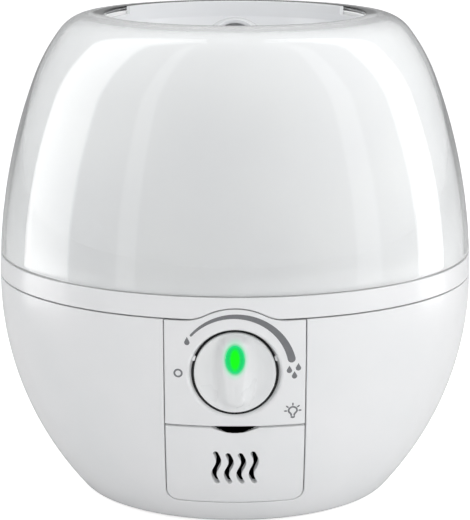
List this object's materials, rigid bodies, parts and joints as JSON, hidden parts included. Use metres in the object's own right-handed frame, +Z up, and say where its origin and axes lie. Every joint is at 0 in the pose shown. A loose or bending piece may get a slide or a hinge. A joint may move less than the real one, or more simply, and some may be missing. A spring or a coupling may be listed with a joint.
{
  "type": "cool mist humidifier",
  "caption": "Round ultrasonic cool mist humidifier: clear lift-off water tank with a mist nozzle in its top bowl, on a white base with a mist knob and a scent-pad drawer.",
  "frame": {"origin": "where the body's axis meets the surface the feet stand on", "axes": "+Z up along the body's axis, front with the knob facing -Y, +X to the right seen from the front"},
  "size_m": [0.2392, 0.2392, 0.242],
  "materials": {
    "housing_white": "satin-gloss moulded white plastic",
    "knob_white": "satin-gloss moulded white plastic",
    "plate_white": "fine textured white plastic",
    "black_plastic": "moulded black plastic",
    "rubber_grey": "soft grey rubber",
    "screw_steel": "zinc-plated steel",
    "diffuser_frosted": "frosted light diffuser",
    "circuit_board": "solder-masked circuit board",
    "board_parts": "component bodies",
    "led_white": "LED package",
    "led_green": "lit green lens",
    "heater_aluminium": "extruded aluminium",
    "transducer_brass": "plated disc",
    "seal_silicone": "moulded silicone",
    "float_foam": "closed-cell foam",
    "magnet_dark": "sintered magnet",
    "reed_glass": "glass capsule",
    "bowl_white": "glossy white plastic",
    "tank_clear": "clear glossy moulded plastic",
    "tank_frosted": "frosted translucent white plastic",
    "spring_steel": "spring wire"
  },
  "bodies": {
    "base": {"lower_housing": "housing_white", "bottom_plate": "plate_white", "rubber_feet": "rubber_grey", "base_screws": "screw_steel", "cord_gland": "rubber_grey", "basin_tray": "housing_white", "collar": "housing_white", "deck_screws": "screw_steel", "light_ring": "diffuser_frosted", "control_panel": "housing_white", "led_board": "circuit_board", "power_led": "led_green", "potentiometer": "black_plastic", "drawer_guide": "black_plastic", "pad_heater": "heater_aluminium", "fan_housing": "black_plastic", "fan_motor": "screw_steel", "air_duct": "black_plastic", "transducer_disc": "transducer_brass", "transducer_gasket": "seal_silicone", "transducer_clamp": "black_plastic", "transducer_screws": "screw_steel", "heat_sink": "heater_aluminium", "main_board": "circuit_board", "board_components": "board_parts", "night_light_board": "circuit_board", "night_light_leds": "led_white", "float_retainer": "bowl_white", "reed_switch": "reed_glass"},
    "knob": {"control_knob": "knob_white", "knob_window": "led_green", "knob_shaft": "screw_steel"},
    "drawer": {"drawer_front": "housing_white", "drawer_tray": "black_plastic"},
    "fan": {"fan_rotor": "black_plastic", "fan_shaft": "screw_steel"},
    "float": {"float_body": "float_foam", "float_magnet": "magnet_dark"},
    "tank": {"tank_dome": "tank_clear", "tank_liner": "tank_frosted", "tank_floor": "tank_frosted", "mist_chimney": "bowl_white", "chimney_seal": "seal_silicone", "mist_bowl": "bowl_white"},
    "nozzle": {"mist_nozzle": "bowl_white"},
    "cap": {"tank_cap": "bowl_white", "cap_gasket": "seal_silicone"},
    "valve": {"valve_plunger": "bowl_white", "valve_seal": "seal_silicone", "valve_spring": "spring_steel"}
  },
  "joints": [
    {"name": "knob_turn", "type": "hinge", "parent": "base", "child": "knob", "pos_m": [0, -0.112, 0.0859], "axis": [0, -1, 0], "range_deg": [-123, 90]},
    {"name": "drawer_slide", "type": "slide", "parent": "base", "child": "drawer", "axis": [0, -1, 0], "range_m": [0, 0.04]},
    {"name": "fan_spin", "type": "hinge", "parent": "base", "child": "fan", "pos_m": [0, 0.0365, 0.015], "axis": [0, 0, 1], "continuous": true},
    {"name": "float_rise", "type": "slide", "parent": "base", "child": "float", "axis": [0, 0, 1], "range_m": [0, 0.008]},
    {"name": "tank_lift", "type": "slide", "parent": "base", "child": "tank", "axis": [0, 0, 1], "range_m": [0, 0.15]},
    {"name": "nozzle_turn", "type": "hinge", "parent": "tank", "child": "nozzle", "pos_m": [0, 0, 0.215], "axis": [0, 0, 1], "continuous": true},
    {"name": "cap_turn", "type": "hinge", "parent": "tank", "child": "cap", "pos_m": [-0.047, 0, 0.118], "axis": [0, 0, 1], "range_deg": [-90, 0]},
    {"name": "valve_slide", "type": "slide", "parent": "cap", "child": "valve", "axis": [0, 0, 1], "range_m": [-0.004, 0], "deforming": ["valve_spring"]}
  ],
  "couplings": [
    {"joint": "valve_slide", "follows": "tank_lift", "ratio": -0.0266}
  ]
}
